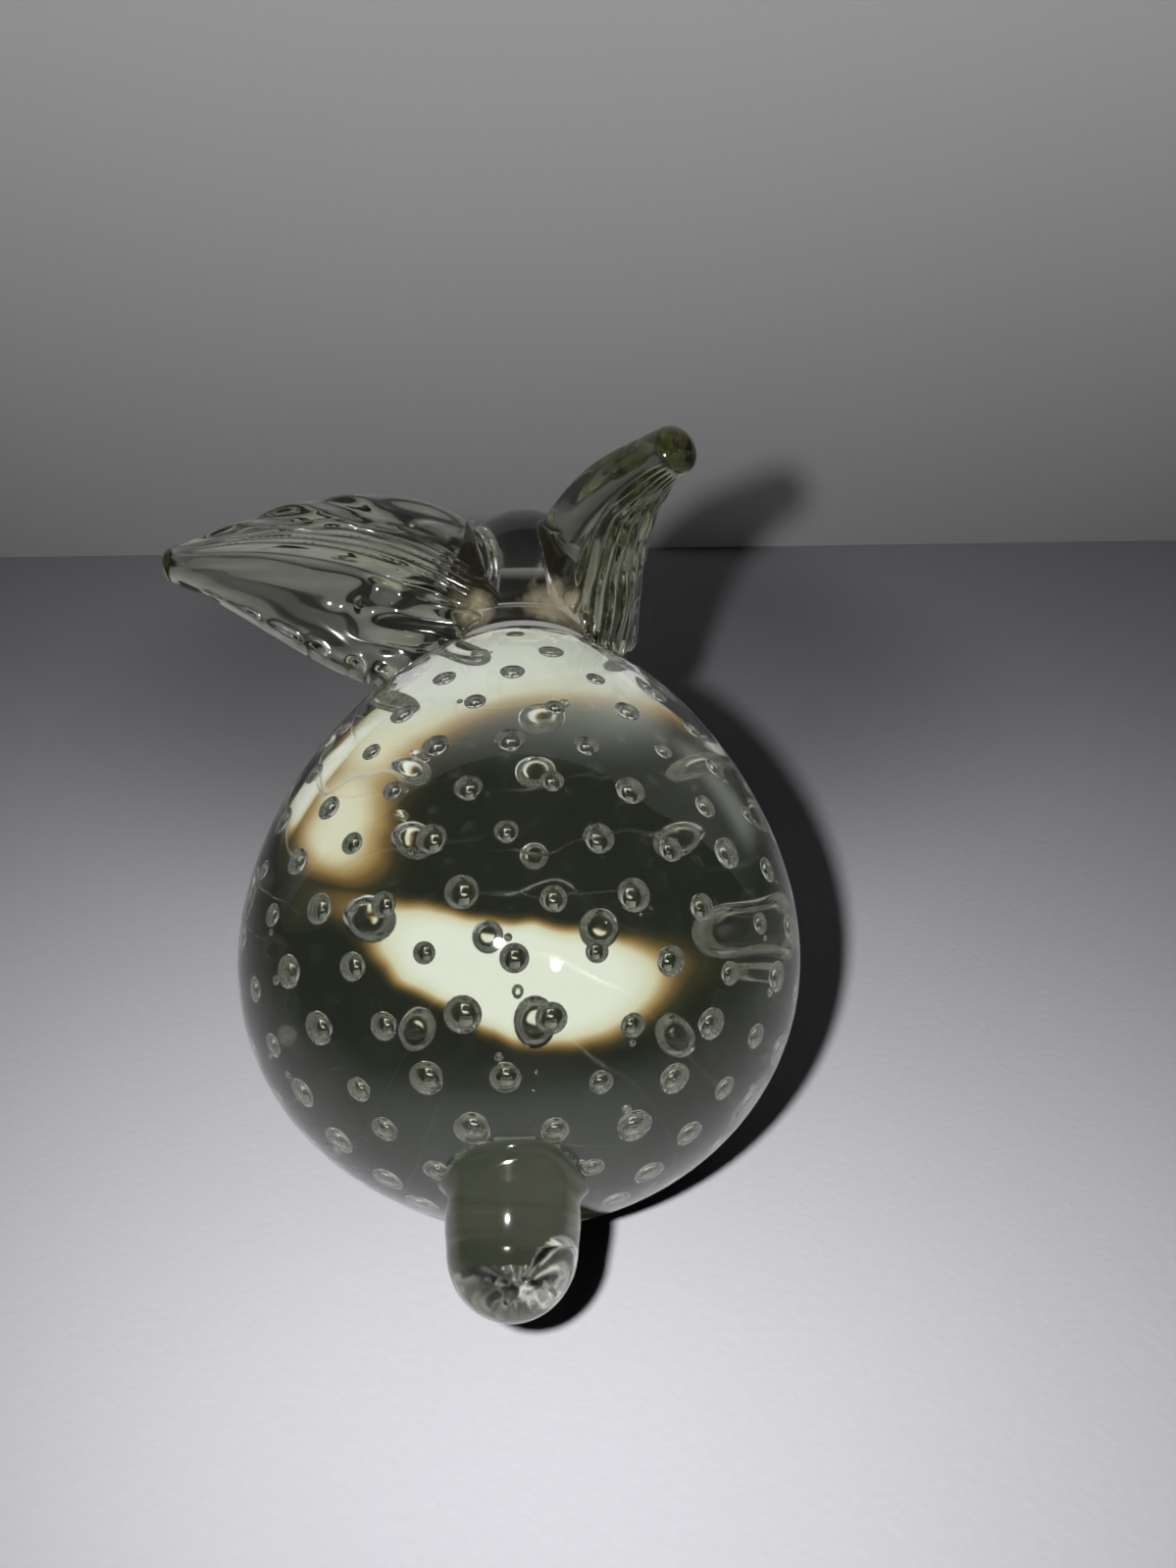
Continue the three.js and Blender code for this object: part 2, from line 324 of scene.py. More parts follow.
def glass_shader(place, pale, deep, ripple, wear, haze):
    """Glass between two tints, with the height of its ripple in metres."""
    stretched = place.node("ShaderNodeVectorMath", {"operation": "MULTIPLY"}, {0: place, 1: CORD_STRETCH})
    cords = stretched.noise(140.0, 2.0)
    smears = place.noise(60.0, 5.0)
    lines = place.node(
        "ShaderNodeTexWave",
        {"wave_type": "RINGS", "rings_direction": "SPHERICAL"},
        {"Vector": stretched, "Scale": 110.0, "Distortion": 9.0, "Detail": 2.0, "Detail Scale": 0.6},
    )
    scratches = ((lines - 0.985) * 60.0).clamped() * ((smears - 0.52) * 9.0).clamped()
    relief = place.noise(45.0, 1.0) - scratches * wear
    bump = place.node("ShaderNodeBump", {}, {"Height": relief, "Strength": 1.0, "Distance": ripple})
    return place.node(
        "ShaderNodeBsdfPrincipled",
        {},
        {
            "Base Color": cords.blended(pale, deep),
            "Roughness": haze + scratches * wear + ((smears - 0.6) * 0.2).clamped() * wear,
            "IOR": GLASS_IOR,
            "Transmission Weight": 1.0,
            "Normal": bump,
        },
    )


def fill(place, output, tint):
    """Colours the depth of the glass, by (colour, strength for each metre)."""
    depth = place.node("ShaderNodeVolumeAbsorption", {}, {"Color": tint[0], "Density": tint[1]})
    depth.joined_to(output, "Volume")


def clear_glass(name, pale, deep, ripple, wear, haze):
    material, place, output = new_material(name)
    glass_shader(place, pale, deep, ripple, wear, haze).joined_to(output)
    fill(place, output, FAINT_GREEN)
    return material


def nearness(place, centre, reach):
    """1 at a point, falling to 0 at its reach, both in millimetres."""
    point = [MM * side for side in centre]
    away = place.node("ShaderNodeVectorMath", {"operation": "DISTANCE"}, {0: place, 1: point}, "Value")
    return (1.0 - away * (1.0 / (MM * reach))).clamped()


def dusty_glass(name, pale, deep, ripple, wear, haze, joints, tint):
    """Glass with old dust round its joints, each given as (place in mm, reach in mm)."""
    material, place, output = new_material(name)
    shader = glass_shader(place, pale, deep, ripple, wear, haze)
    flecks = place.noise(420.0, 6.0)
    near = sum(nearness(place, centre, reach) for centre, reach in joints)
    dust = place.node(
        "ShaderNodeBsdfPrincipled",
        {},
        {"Base Color": flecks.blended((0.10, 0.088, 0.055, 1), (0.33, 0.29, 0.19, 1)), "Roughness": 0.9},
    )
    cover = ((near * 1.4 + flecks - 1.05) * 2.2).clamped()
    place.node("ShaderNodeMixShader", {}, {0: cover * 0.75, 1: shader, 2: dust}).joined_to(output)
    fill(place, output, tint)
    return material


body_finish = clear_glass("body_glass", CLEAR, (0.97, 0.98, 0.95, 1), ripple=0.00001, wear=0.30, haze=0.03)
bubble_finish = clear_glass("bubble_wall", CLEAR, (0.97, 0.98, 0.95, 1), ripple=0.00001, wear=0.05, haze=0.08)
flat_finish = clear_glass("polished_flat", CLEAR, (0.96, 0.97, 0.94, 1), ripple=0.00002, wear=0.35, haze=0.05)
drawn_finish = clear_glass("drawn_glass", CLEAR, (0.95, 0.965, 0.92, 1), ripple=0.00002, wear=0.12, haze=0.08)
print("glass of index", GLASS_IOR)

# %% [markdown]
# The body is an egg that leans forward on its ground flat. It could be a turned profile, but here it is a
# rule that says how far a point lies outside it, because the other pieces need to know that too. The chest is
# a shade fuller than the egg: that is why the top of the back looks white, and not dark, when it is seen from
# behind.

# %% The shape of the egg
BODY_RADIUS = 33.4
BODY_FRONT = 40.9
BODY_REAR = 32.2
BODY_TAPER = 0.024
BODY_SLIMMING = 0.094
BODY_LEAN = math.radians(44)
CASING_WALL = 3.2
GROUND_PAST_CASING = 1.7
FLAT_ARRIS = 0.35
CHEST_SWELL = 0.8
CHEST_HEIGHT = 33.0
CHEST_REACH = 3.5
CHEST_WIDTH = 10.0
OUTLINE_POINTS = 2000

BODY_AXIS = np.array((0.0, math.cos(BODY_LEAN), math.sin(BODY_LEAN)))
BODY_BACK = np.array((0.0, -math.sin(BODY_LEAN), math.cos(BODY_LEAN)))
ACROSS = np.array((1.0, 0.0, 0.0))
UP = np.array((0.0, 0.0, 1.0))


def egg_outline(angle, inset=0.0):
    """Distance from the axis and place along it, for an angle of 0 at the narrow end."""
    end = np.cos(angle)
    away = (BODY_RADIUS - inset) * np.sin(angle) * (1 - end * (BODY_TAPER + end * BODY_SLIMMING))
    return away, end * ((BODY_FRONT + BODY_REAR) / 2 - inset + end * (BODY_FRONT - BODY_REAR) / 2)


away, along = egg_outline(np.linspace(0, math.pi, OUTLINE_POINTS))
body_depth = np.max(away * math.cos(BODY_LEAN) - along * math.sin(BODY_LEAN))
BODY_HEIGHT = body_depth - CASING_WALL - GROUND_PAST_CASING
BODY_CENTRE = np.array((0.0, 0.0, BODY_HEIGHT))


def egg_excess(points, axis, centre, radius, front, rear, taper, slimming):
    """Roughly how far points lie outside an egg, below zero inside it."""
    offset = points - centre
    along = offset @ axis
    away = np.linalg.norm(offset - along[..., None] * axis, axis=-1)
    middle = (front + rear) / 2
    root = np.sqrt(np.maximum(middle**2 + 2 * (front - rear) * along, 1.0))
    end = np.clip(2 * along / (middle + root), -2, 2)
    girth = radius * (1 - end * (taper + end * slimming))
    return (np.hypot(away / girth, end) - 1) * radius


def body_excess(points):
    shape = (BODY_RADIUS, BODY_FRONT, BODY_REAR, BODY_TAPER, BODY_SLIMMING)
    return egg_excess(points, BODY_AXIS, BODY_CENTRE, *shape)


def chested_excess(points):
    across, forward, height = np.moveaxis(points, -1, 0)
    swell = np.exp(-(((height - CHEST_HEIGHT) / CHEST_REACH) ** 2) - (across / CHEST_WIDTH) ** 2)
    return body_excess(points) - np.where(forward > BODY_RADIUS / 2, CHEST_SWELL * swell, 0)


print("egg centre", round(BODY_HEIGHT, 2), "mm above the flat")

# %% [markdown]
# A solid that bulges out all round one inner point can be drawn by walking out from that point in every
# direction until the inside ends, which a few halvings find. Rings of such points are closed into a skin, and
# skins make a piece. A skin that holds air is turned inside out.

# %% Tools for skins
HALVINGS = 40


def find_edge(inner, outer, is_outside):
    """Halves the way between inner and outer places until only the edge of a solid lies between them."""
    for _ in range(HALVINGS):
        middle = (inner + outer) / 2
        outside = is_outside(middle)
        outer = np.where(outside, middle, outer)
        inner = np.where(outside, inner, middle)
    return inner, outer


def walk_out(centre, directions, excess, reach):
    """The points where rays from an inner point leave a solid."""

    def has_left(length):
        return excess(centre + directions * length[..., None]) > 0

    start = np.zeros(directions.shape[:-1])
    length, _ = find_edge(start, start + reach, has_left)
    return centre + directions * length[..., None]


def closed_skin(rings, first, last):
    """Points and faces of a skin over rings of points that closes on a point at each end."""
    count, sides = rings.shape[:2]
    points = np.concatenate(([first], rings.reshape(-1, 3), [last]))
    end = len(points) - 1
    faces = []
    for side in range(sides):
        after = (side + 1) % sides
        faces.append((0, 1 + side, 1 + after))
        for ring in range(count - 1):
            low = 1 + ring * sides
            high = low + sides
            faces.append((low + side, high + side, high + after, low + after))
        faces.append((end - sides + side, end, end - sides + after))
    return points, faces


def facing_out(points, faces):
    """The faces of a closed skin, turned round where they face inwards."""
    first, second, third = (points[[face[corner] for face in faces]] for corner in range(3))
    volume = np.sum(first * np.cross(second, third))
    fourth = [face for face in faces if len(face) == 4]
    first, second, third = (points[[face[corner] for face in fourth]] for corner in (0, 2, 3))
    volume += np.sum(first * np.cross(second, third))
    return faces if volume > 0 else [face[::-1] for face in faces]


def add_piece(name, shells, *finishes):
    """An object from closed shells, each (points, faces, True for a cavity)."""
    corners = []
    skin = []
    for points, faces, cavity in shells:
        faces = facing_out(points, faces)
        start = len(corners)
        corners.extend(MM * points)
        for face in faces:
            turned = face[::-1] if cavity else face
            skin.append([start + corner for corner in turned])
    mesh = bpy.data.meshes.new(name)
    mesh.from_pydata(corners, [], skin)
    mesh.shade_smooth()
    for finish in finishes:
        mesh.materials.append(finish)
    made = bpy.data.objects.new(name, mesh)
    scene.collection.objects.link(made)
    return made


print("skins close after", HALVINGS, "halvings")

# %% [markdown]
# The rows of points of the body run from its top down to the flat, so the rim of the flat is one clean row,
# with the narrow arris that grinding leaves. A few more rows close the flat towards its middle.

# %% The body and its flat
BODY_SIDES = 256
BODY_ROWS = 130
BODY_REACH = 80.0
FLAT_ROWS = 5
FLAT_ROW_PITCH = 3.0
RIM_SEARCH = (math.radians(100), math.radians(179))


def falling_rays(heading, fall):
    """Rays that are turned down from straight up by an angle, towards their headings."""
    return heading * np.sin(fall)[..., None] + UP * np.cos(fall)[..., None]


def body_shell():
    turn = np.linspace(0, 2 * math.pi, BODY_SIDES, endpoint=False)
    heading = np.stack((np.cos(turn), np.sin(turn), np.zeros_like(turn)), axis=-1)

    def is_below_arris(fall):
        return walk_out(BODY_CENTRE, falling_rays(heading, fall), body_excess, BODY_REACH)[:, 2] < FLAT_ARRIS

    first, last = (np.full(BODY_SIDES, angle) for angle in RIM_SEARCH)
    rim_fall, _ = find_edge(first, last, is_below_arris)
    falls = np.outer(np.linspace(0, 1, BODY_ROWS + 1)[1:], rim_fall)
    wall_rows = walk_out(BODY_CENTRE, falling_rays(heading, falls), chested_excess, BODY_REACH)
    rim = wall_rows[-1] * (1, 1, 0)
    middle = rim.mean(axis=0)
    spread = np.linalg.norm(rim - middle, axis=1, keepdims=True)
    insets = [FLAT_ARRIS + FLAT_ROW_PITCH * row for row in range(FLAT_ROWS)]
    flat_rows = [middle + (rim - middle) * (1 - inset / spread) for inset in insets]
    top = walk_out(BODY_CENTRE, UP, body_excess, BODY_REACH)
    return (*closed_skin(np.concatenate((wall_rows, flat_rows)), top, middle), False)


outer_skin = body_shell()
print("body skin", len(outer_skin[1]), "faces")

# %% [markdown]
# The egg is a strong lens. It gathers the lamp's light into bright patches in front of its chest, and shows
# them back to the camera many times larger, with amber fringes where they end. A small card stands there and
# glows where that light lands: a wide pool low down, which shines straight back only, and a bow along the
# top and the upper left, with a pale veil to its right. Light that leaves the card at a slant carries the bow
# and the veil on to the rim of the egg. Only rays that come out of glass see the card, so it neither hides
# the bunny nor lights it.

# %% The gathered light
CARD_TILT = math.radians(30)
CARD_REACH = 35.0
CARD_HALF_WIDTH = 16.0
CARD_RISE = 27.0
CARD_SHADES = (
    (0.0, (0.020, 0.023, 0.016, 1)),
    (0.15, (0.045, 0.042, 0.022, 1)),
    (0.30, (0.17, 0.11, 0.04, 1)),
    (0.46, (0.42, 0.30, 0.13, 1)),
    (0.62, (0.68, 0.66, 0.47, 1)),
    (0.86, (0.78, 0.82, 0.70, 1)),
    (1.0, (0.95, 0.98, 0.95, 1)),
)
VEIL_SHADE = (0.45, 0.48, 0.44, 1)
POOL_CENTRE = (-1.8, 5.3)
POOL_REACH = (9.7, 3.1)
BOW_CENTRE = (1.4, 6.8)
BOW_REACH = (11.1, 14.5)
UNSEEN_BY = ("camera", "diffuse", "glossy", "shadow", "volume_scatter")


def oval(across, rise, centre, reach):
    """0 at the centre of an oval and 1 on its edge, by squares."""
    side = (across - centre[0]) * (1 / reach[0])
    up = (rise - centre[1]) * (1 / reach[1])
    return side * side + up * up


def gathered_light():
    """The glow of the card, by the place across it and up it in millimetres and by the slant of the ray."""
    material, place, output = new_material("gathered_light")
    drift = place.noise(170.0, 2.0) - 0.5
    across = place.part("X") * (1 / MM) + drift * 2.5
    rise = place.part("Z") * (1 / MM) + drift * 1.5
    slant = place.node("ShaderNodeLayerWeight", {}, {"Blend": 0.5}, output="Facing")
    bent = rise + across * (0.066 - across * 0.021)
    pool = 0.88 * (1.0 - oval(across, bent, POOL_CENTRE, POOL_REACH).eased(0.4, 1.2))
    pool = pool * (1.0 - slant.eased(0.08, 0.20))
    lifted = rise + (slant - 0.14) * 15.0
    bow = oval(across, lifted, BOW_CENTRE, BOW_REACH).eased(0.75, 1.45) * rise.eased(8.8, 11.4)
    bow = bow * (1.0 - across.eased(6.3, 13.2)) * across.eased(-12.3, -10.3)
    bow = bow * (1.0 - 0.25 * across.eased(-8.0, 4.0))
    rim = slant.eased(0.25, 0.36) * rise.eased(9.5, 11.5)
    bow = bow.larger(rim * (1.0 - across.eased(-5.0, -3.0)) * 0.9)
    shade = place.node("ShaderNodeValToRGB", {"stops": CARD_SHADES}, {"Fac": pool.larger(bow)})
    veil = (slant.eased(0.0, 0.36) * rise.eased(16.3, 20.3)).larger(rim * across.eased(3.0, 5.0) * 0.5)
    foot = 1.0 - rise.eased(0.5, 2.8)
    veiled = (veil * 0.6).larger(foot * 0.05).blended(shade, VEIL_SHADE)
    glow_in(veiled, output)
    return material


def card_corner(across, rise):
    lean = CARD_REACH + (rise - BODY_HEIGHT) * math.sin(CARD_TILT)
    return MM * across, MM * lean / math.cos(CARD_TILT), MM * rise


def light_card(name, corners, material):
    """A card that only rays out of glass can see."""
    card = sheet(name, corners, material)
    for rays in UNSEEN_BY:
        setattr(card, "visible_" + rays, False)


def oblong(left, right, low, high):
    """The four corners of an oblong, in turn."""
    return (left, low), (right, low), (right, high), (left, high)


card_edge = oblong(-CARD_HALF_WIDTH, CARD_HALF_WIDTH, 0, CARD_RISE)
light_card("chest_card", [card_corner(*corner) for corner in card_edge], gathered_light())
print("card", 2 * CARD_HALF_WIDTH, "mm wide")

# %% [markdown]
# The bubbles came from a mould with pegs. It pressed rows of dimples into the core, and the next gather of
# glass sealed air into each one. They stand in staggered rows, a little off their places, and grow towards
# the blunt end. The new gather lay flat across the dimple, so the outer side of a bubble is flatter than its
# inner side, and some have a seed of air beside them. Each is a small closed skin turned inside out, so that
# light leaves the glass at its wall.

# %% The rows of bubbles
BUBBLE_FRONT_RADIUS = 1.2
BUBBLE_REAR_RADIUS = 1.8
BUBBLE_ROW_PITCH = 5.8
BUBBLE_PITCH = 8.2
BUBBLE_STRAY = 1.2
BUBBLE_ABOVE_FLAT = 4.5
BUBBLE_SIDES = 18
BUBBLE_FLATNESS = (0.6, 0.9)
BUBBLE_LEAST_SIZE = 0.7
BUBBLE_SIZE_SPREAD = 0.45
STRAY_STEP = 0.618034
DRIFT_STEP = 0.754878
SIZE_STEP = 0.569840
SEED_EVERY = 4
SEED_SHARE = 0.3
SEED_DISTANCE = 1.1
SEED_TURN = 40
SEED_RISE = 20
SEED_SIDES = 10
BALL_TWIST = (0.31, 0.2, 0.93)
FUSED_GAP = 0.3
FLAT_HEIGHT = 1e-5
FLAT_FACING = -0.999
BODY_CREASE = math.radians(30)


def outline_by_length(inset):
    """The egg's outline from its blunt end as (length so far, distance from the axis, place along it)."""
    away, along = egg_outline(np.linspace(math.pi, 0, 2 * OUTLINE_POINTS), inset)
    steps = np.hypot(np.diff(away), np.diff(along))
    return np.concatenate(([0.0], np.cumsum(steps))), away, along


def direction(heading, rise):
    """A direction from its heading and its rise, both in degrees."""
    heading, rise = math.radians(heading), math.radians(rise)
    level = math.cos(rise)
    return np.array((level * math.cos(heading), level * math.sin(heading), math.sin(rise)))


def scattered(number, step):
    """A share from 0 to 1 that jumps about, without a pattern, as the number grows."""
    return number * step % 1


def ball(centre, radius, outward, flatness, sides):
    """A small round skin, squashed along one direction by its flatness on the outer and inner side."""
    side = np.cross(outward, BALL_TWIST)
    side /= np.linalg.norm(side)
    other = np.cross(outward, side)
    turn = np.linspace(0, 2 * math.pi, sides, endpoint=False)
    rings = []
    for fall in np.linspace(0, math.pi, sides // 2 + 1)[1:-1]:
        ring = np.outer(np.cos(turn), side) + np.outer(np.sin(turn), other)
        depth = math.cos(fall) * flatness[0 if fall < math.pi / 2 else 1]
        rings.append(centre + radius * (math.sin(fall) * ring + depth * outward))
    outer, inner = (radius * share * outward for share in flatness)
    return (*closed_skin(np.array(rings), centre + outer, centre - inner), True)


def bubbles():
    lengths, away, along = outline_by_length(CASING_WALL + FUSED_GAP / 2)
    total = lengths[-1]
    made = []
    number = 0
    for row in range(1, int((total - BUBBLE_ROW_PITCH / 2) / BUBBLE_ROW_PITCH) + 1):
        arc = total - row * BUBBLE_ROW_PITCH
        ring = np.interp(arc, lengths, away)
        radius = BUBBLE_REAR_RADIUS + (BUBBLE_FRONT_RADIUS - BUBBLE_REAR_RADIUS) * arc / total
        count = max(3, round(2 * math.pi * ring / BUBBLE_PITCH))
        for column in range(count):
            stray = BUBBLE_STRAY * (scattered(number, STRAY_STEP) - 0.5)
            drift = BUBBLE_STRAY * (scattered(number, DRIFT_STEP) - 0.5)
            turn = (column + row % 2 / 2) * 2 * math.pi / count + drift / ring
            out = ACROSS * math.sin(turn) + BODY_BACK * math.cos(turn)
            reach = np.interp(arc + stray, lengths, away)
            centre = BODY_CENTRE + out * reach + BODY_AXIS * np.interp(arc + stray, lengths, along)
            outward = centre - BODY_CENTRE
            outward /= np.linalg.norm(outward)
            size = radius * (BUBBLE_LEAST_SIZE + BUBBLE_SIZE_SPREAD * scattered(number, SIZE_STEP))
            number += 1
            if centre[2] > BUBBLE_ABOVE_FLAT:
                made.append(ball(centre, size, outward, BUBBLE_FLATNESS, BUBBLE_SIDES))
                if number % SEED_EVERY == 0:
                    aside = np.cross(outward, direction(SEED_TURN * number, SEED_RISE))
                    seed = centre + aside / np.linalg.norm(aside) * size * (SEED_DISTANCE + SEED_SHARE)
                    made.append(ball(seed, SEED_SHARE * size, outward, (1, 1), SEED_SIDES))
    return made


held_air = bubbles()
body = add_piece("bubble_body", [outer_skin, *held_air], body_finish, flat_finish, bubble_finish)
for face in body.data.polygons:
    if face.index >= len(outer_skin[1]):
        face.material_index = 2
    elif face.normal.z < FLAT_FACING and face.center.z < FLAT_HEIGHT:
        face.material_index = 1
body.data.set_sharp_from_angle(angle=BODY_CREASE)
print(len(held_air), "bubbles in", body.name)

# %% [markdown]
# The head is a round bit of glass on a short neck at the narrow end of the egg. While it was soft the two ran
# together, so the skull and the neck are blended as one solid: where both surfaces come close, the smaller
# distance is eased into the other. Its foot follows the egg at a hair's breadth. A low ring is left round
# the place of each ear, where the soft glass was pushed aside.

# %% The head
FUSE = 0.06
HEAD_RADIUS = 9.8
HEAD_FRONT = 14.5
HEAD_REAR = 10.0
HEAD_TAPER = 0.076
HEAD_SLIMMING = 0.212
HEAD_DROOP = math.radians(14)
NECK_TOP_RADIUS = 7.0
NECK_BASE_RADIUS = 9.0
NECK_LENGTH = 8.4
NECK_FLARE = 0.3
NECK_FLARE_REACH = 0.8
NECK_BLEND = 2.0
NECK_FOOT_DEPTH = 1.2
EAR_RING_PLACE = (8.8, -4.0, 2.0)
EAR_RING_RADIUS = 6.8
EAR_RING_HEIGHT = 0.5
EAR_RING_WIDTH = 0.6
DUSTY_JOINTS = [((-6.0, 26.0, 62.0), 6.5), ((4.4, 25.6, 62.2), 7.5)]
HEAD_SIDES = 192
HEAD_ROWS = 130
FOOT_ROWS = 16
HEAD_REACH = 40.0
HEAD_CREASE = math.radians(40)
POLE_TWIST = (0.0, 0.6, -0.8)

NAPE = BODY_CENTRE + BODY_AXIS * BODY_FRONT
HEAD_CENTRE = NAPE + BODY_AXIS * NECK_LENGTH
NOSE = np.array((0.0, math.cos(HEAD_DROOP), -math.sin(HEAD_DROOP)))


def eased_least(first, second, ease):
    """The smaller of two distances, with a soft change from one to the other."""
    share = np.clip(0.5 + 0.5 * (second - first) / ease, 0, 1)
    return second + (first - second) * share - ease * share * (1 - share)


def head_excess(points):
    shape = (HEAD_RADIUS, HEAD_FRONT, HEAD_REAR, HEAD_TAPER, HEAD_SLIMMING)
    skull = egg_excess(points, NOSE, HEAD_CENTRE, *shape)
    offset = HEAD_CENTRE - points
    below = offset @ BODY_AXIS
    away = np.linalg.norm(offset - below[..., None] * BODY_AXIS, axis=-1)
    girth = NECK_TOP_RADIUS + (NECK_BASE_RADIUS - NECK_TOP_RADIUS) * below / NECK_LENGTH
    flare = NECK_FLARE * np.exp(-np.maximum(body_excess(points), 0) / NECK_FLARE_REACH)
    mirrored = np.abs(offset) * (1, 0, 0) - offset * (0, 1, 1) - EAR_RING_PLACE
    ring = np.exp(-((np.linalg.norm(mirrored, axis=-1) - EAR_RING_RADIUS) / EAR_RING_WIDTH) ** 2)
    blended = eased_least(skull, np.maximum(away - girth - flare, -below), NECK_BLEND)
    return blended - EAR_RING_HEIGHT * ring


def free_head_excess(points):
    return np.maximum(head_excess(points), FUSE - body_excess(points))


def star_shell(centre, pole, falls, sides, excess, reach):
    """The skin of a solid that bulges out all round its centre, in rows about a pole."""
    side = np.cross(pole, POLE_TWIST)
    side /= np.linalg.norm(side)
    other = np.cross(pole, side)
    turn = np.linspace(0, 2 * math.pi, sides, endpoint=False)
    ring = np.outer(np.cos(turn), side) + np.outer(np.sin(turn), other)
    rays = np.sin(falls)[:, None, None] * ring[None] + np.cos(falls)[:, None, None] * pole
    ends = walk_out(centre, np.array((pole, -pole)), excess, reach)
    return (*closed_skin(walk_out(centre, rays, excess, reach), *ends), False)


foot_corner = math.atan2(NECK_BASE_RADIUS + NECK_FLARE, NECK_LENGTH + NECK_FOOT_DEPTH)
foot_rows = np.linspace(0, foot_corner, FOOT_ROWS)[1:]
head_rows = np.linspace(foot_corner, math.pi, HEAD_ROWS)[1:-1]
head_falls = np.concatenate((foot_rows, head_rows))
head_finish = dusty_glass(
    "head_glass",
    (0.98, 0.985, 0.96, 1),
    (0.95, 0.965, 0.92, 1),
    ripple=0.00002,
    wear=0.10,
    haze=0.08,
    joints=DUSTY_JOINTS,
    tint=FAINT_GREEN,
)
head = add_piece(
    "head",
    [star_shell(HEAD_CENTRE, -BODY_AXIS, head_falls, HEAD_SIDES, free_head_excess, HEAD_REACH)],
    head_finish,
)
head.data.set_sharp_from_angle(angle=HEAD_CREASE)
print("head centre", HEAD_CENTRE.round(1))

# %% [markdown]
# On a pale stage the neck would vanish, because clear glass shows what lies behind it. A card ahead of the
# head is painted with shade, as a black flag would be: it stands for the shadow that the bunny casts on the
# table ahead of it, which is seen dark through the neck. Its foot fades into the grey of the wall, so that no
# straight edge shows in the glass.

# %% The painted shadow card
SHADOW_CARD_PLACE = 75.0
SHADOW_CARD_LEFT = -8.0
SHADOW_CARD_RIGHT = 11.0
SHADOW_CARD_FOOT = 49.0
SHADOW_CARD_TOP = 80.0
SHADOW_CARD_FADE = 5.0


def painted_shadow_card():
    material, place, output = new_material("painted_shadow_card")
    rise = place.part("Z") * (1 / MM)
    fade = rise.eased(SHADOW_CARD_FOOT, SHADOW_CARD_FOOT + SHADOW_CARD_FADE)
    # Painted shade: the card glows nearly black, fading at its foot to the wall's grey.
    glow_in(fade.blended((0.16, 0.16, 0.155, 1), (0.012, 0.012, 0.010, 1)), output)
    return material


shadow_card_edge = oblong(SHADOW_CARD_LEFT, SHADOW_CARD_RIGHT, SHADOW_CARD_FOOT, SHADOW_CARD_TOP)
light_card("shadow_card", [(MM * across, MM * SHADOW_CARD_PLACE, MM * rise) for across, rise in shadow_card_edge], painted_shadow_card())
print("shadow_card", SHADOW_CARD_PLACE, "mm ahead")

# %% [markdown]
# Each ear is a bit of hot glass that was drawn out, pressed into ridges and folded. It is a loft: rings of
# points along a bent spine, wide in the middle and narrow at the tip. A relief over each ring adds the
# ridges, lobes and rolled rims. A ridge left by a press is round on top with a sharp valley beside it, which
# is the shape of a cosine without its sign. Where the root was pressed on, the soft glass spread into a lip.

# %% Tools for the ears
EAR_STEPS = 180
EAR_BACK_SIDES = 320
EAR_FRONT_SIDES = 120
EAR_END_STEPS = 16
EAR_LIP = 0.7
EAR_LIP_PLACE = 0.5
EAR_LIP_REACH = 0.7
KNOB_REACH = 0.06
DIMPLE_START = 0.88

back_angles = np.linspace(0, math.pi, EAR_BACK_SIDES, endpoint=False)
front_angles = np.linspace(math.pi, 2 * math.pi, EAR_FRONT_SIDES, endpoint=False)
EAR_ANGLES = np.concatenate((back_angles, front_angles))


def hump(value, centre, reach):
    """1 at the centre, falling away on both sides as a bell does."""
    return np.exp(-(((value - centre) / reach) ** 2))


def rise_between(value, low, high):
    """From 0 at the low value to 1 at the high one, with a soft bend at both."""
    share = np.clip((value - low) / (high - low), 0, 1)
    return share * share * (3 - 2 * share)


def ridged(count):
    """Round ridges with sharp valleys, one for each whole number."""
    return np.abs(np.cos(math.pi * count))


def ear_frame(ear, place):
    """The spine's point at a place along an ear, its three directions, and half its width and depth."""
    bend = ear["root"] + ear["start"] * ear["length"] / 2
    tip = bend + ear["end"] * ear["length"] / 2
    spine = (1 - place) ** 2 * ear["root"] + 2 * place * (1 - place) * bend + place**2 * tip
    along = (1 - place) * ear["start"] + place * ear["end"]
    along /= np.linalg.norm(along)
    back = ear["back"] - along * (ear["back"] @ along)
    back /= np.linalg.norm(back)
    swell = ear["width"] - (ear["root_width"] * (1 - ear["widest"]) + ear["tip_width"] * ear["widest"])
    leaf = math.sin(math.pi * place ** (math.log(0.5) / math.log(ear["widest"])))
    knob = 1 + ear["knob"] * hump(place, 1.0, KNOB_REACH)
    half_width = (ear["root_width"] * (1 - place) + ear["tip_width"] * place + swell * leaf) / 2
    half_depth = (ear["thickness"] * (1 - place) + ear["tip_width"] * place) / 2
    return spine, along, back, np.cross(back, along), half_width * knob, half_depth * knob


def ear_skin(ear, relief, place, angles):
    """Points round one ring. The relief moves each along the back, by its share of the half width and by
    how far it faces the back."""
    spine, _, back, across, half_width, half_depth = ear_frame(ear, place)
    share, face = np.cos(angles), np.sin(angles)
    moved = half_depth * face - (1 - place**2) * ear["fold"] * share**2 + relief(place, share, face)
    away = np.outer(half_width * share, across) + np.outer(moved, back)
    to_joint = np.minimum(head_excess(spine + away), body_excess(spine + away))
    lip = EAR_LIP * hump(to_joint, EAR_LIP_PLACE, EAR_LIP_REACH) / np.linalg.norm(away, axis=1)
    return spine + away * (1 + lip)[:, None]


